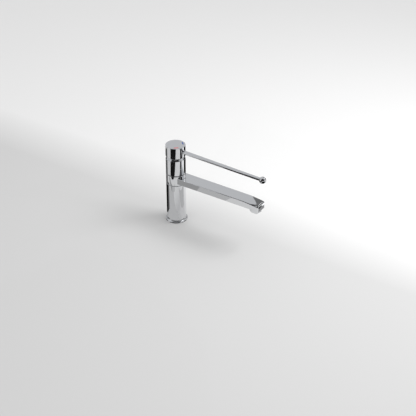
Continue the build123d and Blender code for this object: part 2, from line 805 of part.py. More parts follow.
# Ball knob on the end of the lever
with BuildPart() as ball_knob:
    with BuildSketch(Plane(origin=rod_origin + rod_axis * ball_reach, x_dir=rod_axis, z_dir=(0, -1, 0))):
        with BuildLine():
            CenterArc((0, 0), ball_radius, 0, 180)
            Line((-ball_radius, 0), (ball_radius, 0))
        make_face()
    revolve(axis=Axis(rod_origin, rod_axis))
    with BuildSketch(across_rod(ball_face)):
        Circle(rod_tip_radius + slip)
    extrude(amount=-ball_radius, mode=Mode.SUBTRACT)
    with BuildSketch(across_rod(ball_face)):
        Circle(ball_spigot_radius + slip)
    extrude(amount=ball_spigot_length, mode=Mode.SUBTRACT)
save(ball_knob, "ball_knob")

# Grub screw that clamps the stem, and the plug that hides it
grub_start = stem_thickness / 2
with BuildPart() as grub_screw:
    with BuildSketch(grub_plane.offset(grub_start)):
        Circle(grub_radius)
    extrude(amount=grub_length)
    with BuildSketch(grub_plane.offset(grub_start + grub_length)):
        RegularPolygon(grub_hex / 2, 6, major_radius=False)
    extrude(amount=-grub_hex_depth, mode=Mode.SUBTRACT)
save(grub_screw, "grub_screw")

with BuildPart() as screw_plug:
    with BuildSketch(grub_plane.offset(body_radius - plug_flange - plug_length)):
        Circle(grub_radius)
    extrude(amount=plug_length)
    with BuildSketch(grub_plane.offset(body_radius - plug_flange)):
        Circle(plug_cap_radius)
    extrude(amount=plug_flange - slip)
save(screw_plug, "screw_plug")

# Stud, horseshoe washer, horseshoe plate and nut that clamp the deck
with BuildPart() as fixing_stud:
    with BuildSketch(Plane.XY.offset(-stud_hang)):
        with Locations((stud_x, 0)):
            Circle(stud_radius)
    extrude(amount=stud_hang + stud_engagement)
    chamfer(fixing_stud.edges().group_by(Axis.Z)[0], stud_chamfer)
save(fixing_stud, "fixing_stud")


def horseshoe(top, height):
    """Disc with a wide open slot for the hoses and a hole for the stud."""
    with BuildPart() as piece:
        with BuildSketch(Plane.XY.offset(top - height)):
            Circle(washer_radius)
            slot_length = washer_radius - slot_start + overrun
            with Locations((slot_start + slot_length / 2, 0)):
                Rectangle(slot_length, 2 * slot_half_width, mode=Mode.SUBTRACT)
            with Locations((stud_x, 0)):
                Circle(stud_radius + slip, mode=Mode.SUBTRACT)
        extrude(amount=height)
        slot_edges = [edge for edge in piece.edges().filter_by(Axis.Z) if abs(edge.center().X - slot_start) < slip]
        fillet(slot_edges, slot_corner)
    return piece


horseshoe_washer = horseshoe(-deck_thickness, washer_height)
save(horseshoe_washer, "horseshoe_washer")
horseshoe_plate = horseshoe(-deck_thickness - washer_height, plate_height)
save(horseshoe_plate, "horseshoe_plate")

with BuildPart() as fixing_nut:
    nut_top = -deck_thickness - washer_height - plate_height
    with BuildSketch(Plane.XY.offset(nut_top - nut_height)):
        with Locations((stud_x, 0)):
            RegularPolygon(nut_flats / 2, 6, major_radius=False)
            Circle(stud_radius + slip, mode=Mode.SUBTRACT)
    extrude(amount=nut_height)
save(fixing_nut, "fixing_nut")
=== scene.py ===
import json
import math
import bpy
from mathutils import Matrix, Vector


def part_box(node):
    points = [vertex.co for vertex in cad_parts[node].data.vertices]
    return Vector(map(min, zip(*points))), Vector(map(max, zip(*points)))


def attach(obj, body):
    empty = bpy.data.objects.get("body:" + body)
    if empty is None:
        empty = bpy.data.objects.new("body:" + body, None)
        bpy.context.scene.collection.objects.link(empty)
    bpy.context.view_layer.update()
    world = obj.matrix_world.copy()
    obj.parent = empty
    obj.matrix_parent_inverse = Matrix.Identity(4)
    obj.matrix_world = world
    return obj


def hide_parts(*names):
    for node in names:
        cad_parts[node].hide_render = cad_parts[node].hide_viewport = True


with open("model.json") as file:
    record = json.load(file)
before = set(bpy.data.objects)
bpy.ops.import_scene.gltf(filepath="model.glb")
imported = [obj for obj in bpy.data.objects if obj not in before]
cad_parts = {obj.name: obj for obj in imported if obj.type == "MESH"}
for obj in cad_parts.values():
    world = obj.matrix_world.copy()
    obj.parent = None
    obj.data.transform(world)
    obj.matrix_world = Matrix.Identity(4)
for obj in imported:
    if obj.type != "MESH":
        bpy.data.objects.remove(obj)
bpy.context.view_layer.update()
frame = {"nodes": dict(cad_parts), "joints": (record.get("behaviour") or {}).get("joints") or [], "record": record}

# Looks of the elbow lever tap. The plated pieces are turned and shaped again here
# at the sizes that the frame gives, smooth enough for mirror plating. Everything
# is in metres, apart from the glowing cards that paint reflections into the metal,
# which are placed in millimetres.
# +Z is up, and +X runs along the spout and the lever.

MM = 0.001

# Room round a pushed piece and round a turning one
SLIP = 0.05 * MM
TURN_GAP = 0.08 * MM


# Sizes read from the frame
def low(node):
    """Lowest corner of a CAD node."""
    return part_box(node)[0]


def high(node):
    """Highest corner of a CAD node."""
    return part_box(node)[1]


BODY_RADIUS = high("pillar_shell").x
CORE_RADIUS = high("tap_core").x
FLANGE_RADIUS = high("base_ring").x
PILLAR_TOP = high("pillar_shell").z
RING_LOW = high("lower_glide_ring").z + SLIP
RING_HIGH = low("upper_glide_ring").z - SLIP
SLEEVE_LOW = low("upper_sleeve").z
SLEEVE_HIGH = high("upper_sleeve").z
HEAD_LOW = low("head_cap").z
HEAD_HIGH = high("head_cap").z
JOINTS = {joint["name"]: joint for joint in frame["joints"]}
PIVOT_HEIGHT = JOINTS["lever_lift"]["pos_m"][2]

# Broken edges of the plated pieces
EDGE_BREAK = 0.3 * MM
GROOVE_CHAMFER = 0.9 * MM
SLEEVE_CHAMFER = 0.5 * MM

# How finely round pieces are turned, and how cuts are run past and cleaned
ROUND_FACETS = 160
ROD_FACETS = 96
PLUG_FACETS = 48
OVERCUT = 1 * MM
CUT_REACH = BODY_RADIUS + 5 * MM
WELD_DISTANCE = 0.001 * MM
SLIVER_WIDTH = 0.01 * MM
SMOOTH_ANGLE = math.radians(30)


# Scene settings
scene = bpy.context.scene
scene.view_settings.view_transform = "Standard"


# Camera at the photograph's viewing angle
PHOTO_WIDTH = 416
FOCAL_PIXELS = 806.8
SENSOR_MM = 36.0
CAMERA_PLACE = Vector((938.6, -1316.3, 1070.4)) * MM
CAMERA_FORWARD = Vector((-0.4565, 0.7053, -0.5424))
CAMERA_UP = Vector((-0.2997, 0.4521, 0.8401))
CAMERA_SHIFT = 0.0022
CAMERA_NEAR = 0.01
CAMERA_FAR = 50


def add_camera():
    """Camera fitted to the outlines in the photograph."""
    lens = bpy.data.cameras.new("photo_camera")
    lens.sensor_width = SENSOR_MM
    lens.lens = FOCAL_PIXELS * SENSOR_MM / PHOTO_WIDTH
    lens.shift_x = CAMERA_SHIFT
    lens.clip_start = CAMERA_NEAR
    lens.clip_end = CAMERA_FAR
    camera = bpy.data.objects.new("photo_camera", lens)
    scene.collection.objects.link(camera)
    right = CAMERA_FORWARD.cross(CAMERA_UP).normalized()
    up = right.cross(CAMERA_FORWARD).normalized()
    back = -CAMERA_FORWARD.normalized()
    turn = Matrix((right, up, back)).transposed().to_4x4()
    camera.matrix_world = Matrix.Translation(CAMERA_PLACE) @ turn
    scene.camera = camera


add_camera()


# Material helpers
def colour(hex_value):
    """Linear colour of an sRGB hex value, opaque."""
    parts = [int(hex_value[i:i + 2], 16) / 255 for i in (0, 2, 4)]
    linear = [c / 12.92 if c <= 0.04045 else ((c + 0.055) / 1.055) ** 2.4 for c in parts]
    return (*linear, 1.0)


def add_node(tree, kind, inputs=None, links=None):
    """One shader node with its settings and its incoming links."""
    node = tree.nodes.new(kind)
    for key, value in (inputs or {}).items():
        node.inputs[key].default_value = value
    for key, source in (links or {}).items():
        tree.links.new(source, node.inputs[key])
    return node


def new_material(name, base, metallic, roughness):
    """Principled material, its tree and shader, and the place on the piece."""
    material = bpy.data.materials.new(name)
    material.use_nodes = True
    tree = material.node_tree
    shader = tree.nodes["Principled BSDF"]
    shader.inputs["Base Color"].default_value = colour(base)
    shader.inputs["Metallic"].default_value = metallic
    shader.inputs["Roughness"].default_value = roughness
    place = add_node(tree, "ShaderNodeTexCoord")
    return material, tree, shader, place.outputs["Object"]


# Nearly all of a noise's values lie between these
NOISE_LOW = 0.3
NOISE_HIGH = 0.7


def add_noise(tree, place, size_mm, detail):
    """Noise whose grain has a real size in millimetres."""
    return add_node(
        tree,
        "ShaderNodeTexNoise",
        inputs={"Scale": 1000 / size_mm, "Detail": detail},
        links={"Vector": place},
    ).outputs["Fac"]


def vary(tree, shader, socket, place, size_mm, low_value, high_value):
    """Noise of a real size that moves one shader value between two ends."""
    spread = add_node(
        tree,
        "ShaderNodeMapRange",
        inputs={
            "From Min": NOISE_LOW,
            "From Max": NOISE_HIGH,
            "To Min": low_value,
            "To Max": high_value,
        },
        links={"Value": add_noise(tree, place, size_mm, detail=3.0)},
    )
    tree.links.new(spread.outputs["Result"], shader.inputs[socket])


def bumps(tree, shader, place, size_mm, height_mm):
    """Fine surface relief of a real size and height."""
    relief = add_node(
        tree,
        "ShaderNodeBump",
        inputs={"Strength": 1.0, "Distance": height_mm * MM},
        links={"Height": add_noise(tree, place, size_mm, detail=2.0)},
    )
    tree.links.new(relief.outputs["Normal"], shader.inputs["Normal"])


def chrome_plate():
    """Bright chromium over polished brass: a near mirror with the faintest haze."""
    material, tree, shader, place = new_material("polished_chrome_plate", "E3E4E6", 1.0, 0.035)
    vary(tree, shader, "Roughness", place, size_mm=9.0, low_value=0.02, high_value=0.05)
    return material


def raw_brass():
    """Cast and machined brass: dull yellow, cloudy from handling."""
    material, tree, shader, place = new_material("machined_brass", "C9A45C", 1.0, 0.32)
    vary(tree, shader, "Roughness", place, size_mm=4.0, low_value=0.24, high_value=0.42)
    bumps(tree, shader, place, size_mm=0.8, height_mm=0.02)
    return material


def white_acetal():
    """Moulded acetal: milky, slightly waxy."""
    material, tree, shader, place = new_material("moulded_acetal", "DCDCD6", 0.0, 0.42)
    bumps(tree, shader, place, size_mm=0.6, height_mm=0.01)
    return material


def black_acetal():
    """Turned black acetal of the glide rings: dark and slightly waxy."""
    material, tree, shader, place = new_material("turned_black_acetal", "262627", 0.0, 0.4)
    vary(tree, shader, "Roughness", place, size_mm=1.5, low_value=0.34, high_value=0.5)
    return material


def grey_plastic():
    """Moulded grey plastic with a satin skin."""
    material, tree, shader, place = new_material("satin_grey_plastic", "7C7F83", 0.0, 0.45)
    bumps(tree, shader, place, size_mm=0.5, height_mm=0.01)
    return material


def black_rubber():
    """Moulded nitrile rubber: matt black with a fine bloom."""
    material, tree, shader, place = new_material("nitrile_rubber", "1C1C1D", 0.0, 0.75)
    vary(tree, shader, "Roughness", place, size_mm=2.0, low_value=0.65, high_value=0.85)
    bumps(tree, shader, place, size_mm=0.4, height_mm=0.02)
    return material


def white_ceramic():
    """Lapped alumina: cream white with a fine polish."""
    return new_material("lapped_alumina", "ECE9DF", 0.0, 0.18)[0]


def stainless_steel():
    """Turned stainless steel: bright, with the fine grain of the tool."""
    material, tree, shader, place = new_material("turned_stainless", "B9BABC", 1.0, 0.25)
    bumps(tree, shader, place, size_mm=0.3, height_mm=0.01)
    return material


def zinc_steel():
    """Bright zinc plating: blue-grey with a soft mottle."""
    material, tree, shader, place = new_material("bright_zinc_plate", "B4B8BC", 1.0, 0.35)
    vary(tree, shader, "Roughness", place, size_mm=1.5, low_value=0.28, high_value=0.46)
    return material


def enamel(name, base):
    """Opaque enamel inlay with a smooth gloss."""
    return new_material(name, base, 0.0, 0.25)[0]


FINISHES = {
    "chrome_plate": chrome_plate(),
    "raw_brass": raw_brass(),
    "white_acetal": white_acetal(),
    "grey_plastic": grey_plastic(),
    "black_rubber": black_rubber(),
    "white_ceramic": white_ceramic(),
    "stainless_steel": stainless_steel(),
    "zinc_steel": zinc_steel(),
    "red_enamel": enamel("red_enamel_inlay", "C80A1E"),
    "blue_enamel": enamel("blue_enamel_inlay", "1A4690"),
    "black_acetal": black_acetal(),
}
SLOT_OF_NODE = {entry["node"]: entry["material_slot"] for entry in frame["record"]["subparts"]}


def dress(piece, slot):
    """Gives a piece one finish."""
    piece.data.materials.clear()
    piece.data.materials.append(FINISHES[slot])


for node_name, node_object in frame["nodes"].items():
    dress(node_object, SLOT_OF_NODE[node_name])
# The seam below the spout reads grey, not black
dress(frame["nodes"]["lower_glide_ring"], "grey_plastic")


# Modelling helpers
def deselect():
    """Leaves nothing selected."""
    bpy.ops.object.select_all(action="DESELECT")


def active(name):
    """Names the object just added and returns it."""
    piece = bpy.context.view_layer.objects.active
    piece.name = name
    piece.data.name = name
    return piece


def only(piece):
    """Selects one object and makes it the active one."""
    deselect()
    piece.select_set(True)
    bpy.context.view_layer.objects.active = piece


def apply_place(piece):
    """Moves an object's place into its mesh."""
    only(piece)
    bpy.ops.object.transform_apply(location=True, rotation=True, scale=True)


def apply_modifier(piece, kind, **settings):
    """Adds a modifier and applies it at once."""
    only(piece)
    modifier = piece.modifiers.new(kind.lower(), kind)
    for key, value in settings.items():
        setattr(modifier, key, value)
    bpy.ops.object.modifier_apply(modifier=modifier.name)


def smooth(piece):
    """Smooth shading that keeps the real edges, with flat faces left truly flat."""
    only(piece)
    bpy.ops.object.shade_smooth_by_angle(angle=SMOOTH_ANGLE)
    apply_modifier(piece, "WEIGHTED_NORMAL", mode="FACE_AREA", weight=100, keep_sharp=True)


def turned(name, profile, centre=(0.0, 0.0), facets=ROUND_FACETS):
    """Lathe work: a ring of edges is extruded along a profile of (radius, height).

    A profile that starts and ends at the same point makes a closed ring. Any other
    profile gets a flat cap at both ends.
    """
    closed = profile[0] == profile[-1]
    first_radius, first_height = profile[0]
    deselect()
    bpy.ops.mesh.primitive_circle_add(
        vertices=facets,
        radius=first_radius,
        fill_type="NOTHING" if closed else "NGON",
        location=(*centre, first_height),
    )
    piece = active(name)
    apply_place(piece)
    bpy.ops.object.mode_set(mode="EDIT")
    bpy.ops.mesh.select_all(action="SELECT")
    for (radius, height), (next_radius, next_height) in zip(profile, profile[1:]):
        bpy.ops.mesh.extrude_edges_move(
            TRANSFORM_OT_translate={"value": (0, 0, next_height - height)}
        )
        ratio = next_radius / radius
        bpy.ops.transform.resize(value=(ratio, ratio, 1), center_override=(*centre, next_height))
    if not closed:
        bpy.ops.mesh.edge_face_add()
    bpy.ops.mesh.select_all(action="SELECT")
    bpy.ops.mesh.remove_doubles(threshold=WELD_DISTANCE)
    bpy.ops.mesh.normals_make_consistent(inside=False)
    bpy.ops.object.mode_set(mode="OBJECT")
    return piece


def arc_points(centre, radius, start_degrees, end_degrees, steps):
    """Points of an arc in a profile."""
    points = []
    for step in range(steps + 1):
        angle = math.radians(start_degrees + (end_degrees - start_degrees) * step / steps)
        points.append((
            centre[0] + radius * math.cos(angle),
            centre[1] + radius * math.sin(angle),
        ))
    return points


def round_rod(name, profile, origin, direction, facets=ROD_FACETS):
    """Lathe work along any axis: turned upright, then laid along the direction."""
    piece = turned(name, profile, facets=facets)
    lay = direction.to_track_quat("Z", "Y").to_matrix().to_4x4()
    piece.matrix_world = Matrix.Translation(origin) @ lay
    apply_place(piece)
    return piece


def cut(piece, tool, operation="DIFFERENCE"):
    """Cuts a piece with a tool, or joins the two, and removes the tool."""
    apply_modifier(piece, "BOOLEAN", object=tool, operation=operation, solver="EXACT")
    bpy.data.objects.remove(tool)


def seat(piece, body, node):
    """Hands a finished plated piece over to its body, in place of the CAD node."""
    dress(piece, SLOT_OF_NODE[node])
    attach(piece, body)
    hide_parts(node)


# Pillar
def add_pillar():
    """Plated tube with a lightly broken top edge."""
    bore = CORE_RADIUS + SLIP
    piece = turned("pillar", [
        (bore, 0.0),
        (BODY_RADIUS, 0.0),
        (BODY_RADIUS, PILLAR_TOP - EDGE_BREAK),
        (BODY_RADIUS - EDGE_BREAK, PILLAR_TOP),
        (bore, PILLAR_TOP),
        (bore, 0.0),
    ])
    smooth(piece)
    seat(piece, "root", "pillar_shell")


# Base ring
RIM_HEIGHT = 2.2 * MM
SHOULDER_RADIUS = 1.2 * MM
FLARE_RADIUS = 2.6 * MM
GASKET_INNER = 23.9 * MM
GASKET_OUTER = 25.3 * MM


def add_base_ring():
    """Flared ring: upright rim, rounded shoulder and a hollow curve into the pillar."""
    top = high("base_ring").z
    inner = BODY_RADIUS + SLIP
    lip = inner + SHOULDER_RADIUS / 4
    gasket_height = high("base_gasket").z
    shoulder_arc = arc_points(
        (FLANGE_RADIUS - SHOULDER_RADIUS, RIM_HEIGHT), SHOULDER_RADIUS, 0, 90, steps=8
    )
    # Centre of the hollow curve, outside the chord from the shoulder to the pillar
    start = shoulder_arc[-1]
    span = Vector((lip - start[0], top - start[1]))
    middle = Vector(start) + span / 2
    rise = math.sqrt(FLARE_RADIUS ** 2 - (span.length / 2) ** 2)
    outward = Vector((span.y, -span.x)).normalized()
    hollow = middle + outward * rise
    first = math.degrees(math.atan2(start[1] - hollow.y, start[0] - hollow.x))
    last = math.degrees(math.atan2(top - hollow.y, lip - hollow.x))
    if last > first:
        last -= 360
    flare_arc = arc_points(hollow, FLARE_RADIUS, first, last, steps=12)
    piece = turned("base_flare", [
        (inner, 0.0),
        (GASKET_INNER, 0.0),
        (GASKET_INNER, gasket_height),
        (GASKET_OUTER, gasket_height),
        (GASKET_OUTER, 0.0),
        (FLANGE_RADIUS, 0.0),
        *shoulder_arc,
        *flare_arc[1:],
        (inner, top),
        (inner, 0.0),
    ])
    smooth(piece)
    seat(piece, "root", "base_ring")


# Sleeve above the spout
def add_sleeve():
    """Plated tube with a wide chamfer below and a fine one above."""
    bore = CORE_RADIUS + SLIP
    piece = turned("cartridge_sleeve", [
        (bore, SLEEVE_LOW),
        (BODY_RADIUS - GROOVE_CHAMFER, SLEEVE_LOW),
        (BODY_RADIUS, SLEEVE_LOW + GROOVE_CHAMFER),
        (BODY_RADIUS, SLEEVE_HIGH - SLEEVE_CHAMFER),
        (BODY_RADIUS - SLEEVE_CHAMFER, SLEEVE_HIGH),
        (bore, SLEEVE_HIGH),
        (bore, SLEEVE_LOW),
    ])
    smooth(piece)
    seat(piece, "root", "upper_sleeve")


# Dome under the head
DOME_WALL = 1.5 * MM
DOME_OPENING = 15.0 * MM
DOME_SPIGOT_WALL = 1.8 * MM


def add_dome():
    """Spherical cap, open on top, that the head tilts over."""
    rim_radius = high("dome_cap").x
    rise = SLEEVE_HIGH - PIVOT_HEIGHT
    radius = math.hypot(rim_radius, rise)
    inner = radius - DOME_WALL
    spigot_inner = CORE_RADIUS - DOME_SPIGOT_WALL
    outer_arc = arc_points(
        (0, PIVOT_HEIGHT),
        radius,
        math.degrees(math.atan2(rise, rim_radius)),
        math.degrees(math.acos(DOME_OPENING / radius)),
        steps=14,
    )
    inner_arc = arc_points(
        (0, PIVOT_HEIGHT),
        inner,
        math.degrees(math.acos(DOME_OPENING / inner)),
        math.degrees(math.acos(spigot_inner / inner)),
        steps=8,
    )
    piece = turned("dome", [
        (CORE_RADIUS, SLEEVE_HIGH),
        *outer_arc,
        *inner_arc,
        (spigot_inner, low("dome_cap").z),
        (CORE_RADIUS, low("dome_cap").z),
        (CORE_RADIUS, SLEEVE_HIGH),
    ])
    smooth(piece)
    seat(piece, "root", "dome_cap")


# Spout
BAR_HEIGHT = 15.0 * MM
BAR_ROOT_WIDTH = 34.1 * MM
BAR_TIP_WIDTH = 31.8 * MM
BAR_CORNER = 4.0 * MM
BAR_CORNER_STEPS = 12
BAR_EDGE = 0.9 * MM
BAR_EDGE_STEPS = 4
BAR_EDGE_ANGLE = math.radians(50)
NOSE_LENGTH = 50.0 * MM
NOSE_DROP = 2.6 * MM
NOSE_CROWN = 2.2 * MM
NOSE_ROUND = 5.0 * MM
NOSE_CUTS = 25
ROUND_CUTS = 12
CROWN_CUTS = 15
BLOCK_LENGTH = 16.5 * MM
BOSS_HEIGHT = 6.65 * MM
BOSS_RADIUS = 13.8 * MM
OUTLET_BORE = 12.0 * MM


def pick(piece, wanted):
    """Selects the faces whose corners all pass a test."""
    bpy.ops.object.mode_set(mode="EDIT")
    bpy.ops.mesh.select_mode(type="FACE")
    bpy.ops.mesh.select_all(action="DESELECT")
    bpy.ops.object.mode_set(mode="OBJECT")
    for face in piece.data.polygons:
        face.select = all(wanted(piece.data.vertices[i].co) for i in face.vertices)
    bpy.ops.object.mode_set(mode="EDIT")


def slice_across(places, normal):
    """Cuts the whole mesh in edit mode with one plane at each place."""
    for place in places:
        bpy.ops.mesh.select_all(action="SELECT")
        bpy.ops.mesh.bisect(plane_co=[place * part for part in normal], plane_no=normal)


def top_fall(tip, x, y):
    """How far the top of the bar lies below its flat stretch."""
    share = max(0.0, (x - tip + NOSE_LENGTH) / NOSE_LENGTH) ** 2
    fall = share * (NOSE_DROP + NOSE_CROWN * (2 * y / BAR_TIP_WIDTH) ** 2)
    past = x - tip + NOSE_ROUND
    if past <= 0:
        return fall
    start_fall = NOSE_DROP * (1 - NOSE_ROUND / NOSE_LENGTH) ** 2
    rounding = NOSE_ROUND - math.sqrt(max(0.0, NOSE_ROUND ** 2 - past ** 2))
    return max(fall, start_fall + rounding)


def add_bar(tip):
    """Flat tapered bar with the outlet block, cut up finely where its nose will bend.

    Gives the bar and the height of its underside.
    """
    middle = (RING_LOW + RING_HIGH) / 2
    bar_low = middle - BAR_HEIGHT / 2
    deselect()
    bpy.ops.mesh.primitive_cube_add(size=1, location=(tip / 2, 0, middle))
    bar = active("spout_body")
    bar.scale = (tip, BAR_ROOT_WIDTH, BAR_HEIGHT)
    apply_place(bar)
    pick(bar, lambda co: co.x > tip / 2)
    taper = BAR_TIP_WIDTH / BAR_ROOT_WIDTH
    bpy.ops.transform.resize(value=(1, taper, 1), center_override=(tip, 0, middle))
    # Upright edges at the tip, rounded in plan
    bpy.ops.object.mode_set(mode="OBJECT")
    for edge in bar.data.edges:
        one, other = [bar.data.vertices[i].co for i in edge.vertices]
        at_tip = one.x > tip / 2 and other.x > tip / 2
        edge.select = at_tip and abs(one.z - other.z) > BAR_HEIGHT / 2
    bpy.ops.object.mode_set(mode="EDIT")
    bpy.ops.mesh.select_mode(type="EDGE")
    bpy.ops.mesh.bevel(offset=BAR_CORNER, segments=BAR_CORNER_STEPS, affect="EDGES")
    # Outlet block, drawn down from the underside
    slice_across([tip - BLOCK_LENGTH], (1, 0, 0))
    pick(bar, lambda co: co.x > tip - BLOCK_LENGTH - EDGE_BREAK and co.z < middle)
    bpy.ops.mesh.extrude_region_move(TRANSFORM_OT_translate={"value": (0, 0, -BOSS_HEIGHT)})
    bpy.ops.object.mode_set(mode="OBJECT")
    apply_modifier(
        bar,
        "BEVEL",
        width=BAR_EDGE,
        segments=BAR_EDGE_STEPS,
        limit_method="ANGLE",
        angle_limit=BAR_EDGE_ANGLE,
    )
    # Cuts across and along the nose, so that it can bend
    bpy.ops.object.mode_set(mode="EDIT")
    shares = [1 - step / NOSE_CUTS for step in range(NOSE_CUTS)]
    slice_across([tip - NOSE_LENGTH * share for share in shares], (1, 0, 0))
    quarter = math.pi / 2
    shares = [1 - math.sin(quarter * step / ROUND_CUTS) for step in range(1, ROUND_CUTS)]
    slice_across([tip - NOSE_ROUND * share for share in shares], (1, 0, 0))
    shares = [step / (CROWN_CUTS + 1) - 0.5 for step in range(1, CROWN_CUTS + 1)]
    slice_across([BAR_ROOT_WIDTH * share for share in shares], (0, 1, 0))
    bpy.ops.object.mode_set(mode="OBJECT")
    return bar, bar_low


def bend_nose(bar, tip):
    """Lets the top of the bar fall away, crown and round over towards the tip."""
    middle = (RING_LOW + RING_HIGH) / 2
    for vertex in bar.data.vertices:
        if vertex.co.z > middle:
            vertex.co.z -= top_fall(tip, vertex.co.x, vertex.co.y)


def add_spout():
    """Ring, bar, outlet block and boss in one casting, bent once all cuts are made."""
    tip = high("spout").x
    outlet = (low("aerator_housing").x + high("aerator_housing").x) / 2
    bar, bar_low = add_bar(tip)
    ring = turned("ring", [
        (BODY_RADIUS - EDGE_BREAK, RING_LOW),
        (BODY_RADIUS, RING_LOW + EDGE_BREAK),
        (BODY_RADIUS, RING_HIGH - EDGE_BREAK),
        (BODY_RADIUS - EDGE_BREAK, RING_HIGH),
    ])
    cut(bar, ring, "UNION")
    boss = turned("boss", [
        (BOSS_RADIUS, bar_low - BOSS_HEIGHT),
        (BOSS_RADIUS, bar_low + BAR_HEIGHT / 2),
    ], centre=(outlet, 0.0), facets=ROD_FACETS)
    cut(bar, boss, "UNION")
    outlet_bore = turned("outlet_bore", [
        (OUTLET_BORE, bar_low - BOSS_HEIGHT - OVERCUT),
        (OUTLET_BORE, high("aerator_seal").z),
    ], centre=(outlet, 0.0), facets=ROD_FACETS)
    cut(bar, outlet_bore)
    bore = turned("bore", [
        (CORE_RADIUS + TURN_GAP, RING_LOW - OVERCUT),
        (CORE_RADIUS + TURN_GAP, RING_HIGH + OVERCUT),
    ])
    cut(bar, bore)
    bend_nose(bar, tip)
    smooth(bar)
    seat(bar, "spout", "spout")


# Aerator collar
def add_aerator_collar():
    """Thin plated collar with a broken lower edge, threaded into the boss."""
    bottom = low("aerator_housing")
    top = high("aerator_housing")
    outlet = (bottom.x + top.x) / 2
    rim = top.x - outlet
    bore = high("aerator_insert").x - outlet + SLIP
    step = low("spout").z
    piece = turned("aerator_collar", [
        (bore, bottom.z),
        (rim - EDGE_BREAK, bottom.z),
        (rim, bottom.z + EDGE_BREAK),
        (rim, step),
        (OUTLET_BORE - SLIP, step),
        (OUTLET_BORE - SLIP, top.z),
        (bore, top.z),
        (bore, bottom.z),
    ], centre=(outlet, 0.0), facets=ROD_FACETS)
    smooth(piece)
    seat(piece, "spout", "aerator_housing")


# Lever: its axis, its two ends and the ball
ROD_ROOT_RADIUS = 4.66 * MM
ROD_TIP_RADIUS = 3.86 * MM
ROD_DROOP = math.radians(1.56)
ROD_AXIS = Vector((math.cos(ROD_DROOP), 0, -math.sin(ROD_DROOP)))
ROD_ORIGIN = Vector((0, 0, PIVOT_HEIGHT + 36.1 * MM))
ROD_SEAT = BODY_RADIUS - 1.8 * MM
BALL_RADIUS = (high("ball_knob").z - low("ball_knob").z) / 2
BALL_REACH = 228.6 * MM
BALL_FACE = BALL_REACH - 5.4 * MM
ROOT_SPIGOT_RADIUS = 3.0 * MM
ROOT_SPIGOT_LENGTH = 11.0 * MM
TIP_SPIGOT_RADIUS = 2.4 * MM
TIP_SPIGOT_LENGTH = 6.0 * MM
BALL_BORE = 2.45 * MM

# Head
HEAD_EDGE = 0.9 * MM
HEAD_EDGE_ROUND = 0.3
HEAD_WALL = 2.7 * MM
HEAD_LIP = 2.1 * MM
HEAD_LIP_HEIGHT = 2.4 * MM
STEM_ROOM = 4.5 * MM
PLUG_SEAT_RADIUS = 3.15 * MM
PLUG_SEAT_DEPTH = 0.6 * MM
MARK_ANGLE = 50.0
MARK_PLACE = 17.2 * MM
MARK_WIDTH = 2.8 * MM
MARK_LENGTH = 10.7 * MM
MARK_DEPTH = 0.5 * MM


def add_mark_pocket(side):
    """Shallow square-cornered seat for one colour mark."""
    turn = math.radians(side * MARK_ANGLE)
    deselect()
    bpy.ops.mesh.primitive_cube_add(
        size=1,
        location=(MARK_PLACE * math.cos(turn), MARK_PLACE * math.sin(turn), HEAD_HIGH),
        rotation=(0, 0, turn),
    )
    pocket = active("mark_pocket")
    pocket.scale = (MARK_WIDTH, MARK_LENGTH, 2 * MARK_DEPTH)
    apply_place(pocket)
    return pocket


def add_head():
    """Tilting cap: flat top, slanted lower lip, hollow below."""
    bore = BODY_RADIUS - HEAD_WALL
    roof = high("lever_stem").z + STEM_ROOM
    rounding = HEAD_EDGE * HEAD_EDGE_ROUND
    piece = turned("head", [
        (bore, HEAD_LOW),
        (BODY_RADIUS - HEAD_LIP, HEAD_LOW),
        (BODY_RADIUS, HEAD_LOW + HEAD_LIP_HEIGHT),
        (BODY_RADIUS, HEAD_HIGH - HEAD_EDGE),
        (BODY_RADIUS - rounding, HEAD_HIGH - rounding),
        (BODY_RADIUS - HEAD_EDGE, HEAD_HIGH),
    ])
    hollow = turned("hollow", [(bore, HEAD_LOW - OVERCUT), (bore, roof)])
    cut(piece, hollow)
    socket_radius = ROD_ROOT_RADIUS + SLIP
    socket = round_rod(
        "socket",
        [(socket_radius, ROD_SEAT), (socket_radius, CUT_REACH)],
        ROD_ORIGIN,
        ROD_AXIS,
    )
    cut(piece, socket)
    plug_seat = round_rod(
        "plug_seat",
        [(PLUG_SEAT_RADIUS, BODY_RADIUS - PLUG_SEAT_DEPTH), (PLUG_SEAT_RADIUS, CUT_REACH)],
        ROD_ORIGIN,
        Vector((-1, 0, 0)),
        facets=PLUG_FACETS,
    )
    cut(piece, plug_seat)
    for side in (1, -1):
        cut(piece, add_mark_pocket(side))
    # Slivers that the cuts leave in the round wall
    only(piece)
    bpy.ops.object.mode_set(mode="EDIT")
    bpy.ops.mesh.select_all(action="SELECT")
    bpy.ops.mesh.dissolve_degenerate(threshold=SLIVER_WIDTH)
    bpy.ops.object.mode_set(mode="OBJECT")
    smooth(piece)
    seat(piece, "lever", "head_cap")


def add_lever_rod():
    """Long rod with a slight taper, spigots hidden in the head and the ball."""
    piece = round_rod("lever_bar", [
        (ROOT_SPIGOT_RADIUS, ROD_SEAT - ROOT_SPIGOT_LENGTH),
        (ROOT_SPIGOT_RADIUS, ROD_SEAT),
        (ROD_ROOT_RADIUS, ROD_SEAT),
        (ROD_TIP_RADIUS, BALL_FACE),
        (TIP_SPIGOT_RADIUS, BALL_FACE),
        (TIP_SPIGOT_RADIUS, BALL_FACE + TIP_SPIGOT_LENGTH),
    ], ROD_ORIGIN, ROD_AXIS)
    smooth(piece)
    seat(piece, "lever", "lever_rod")


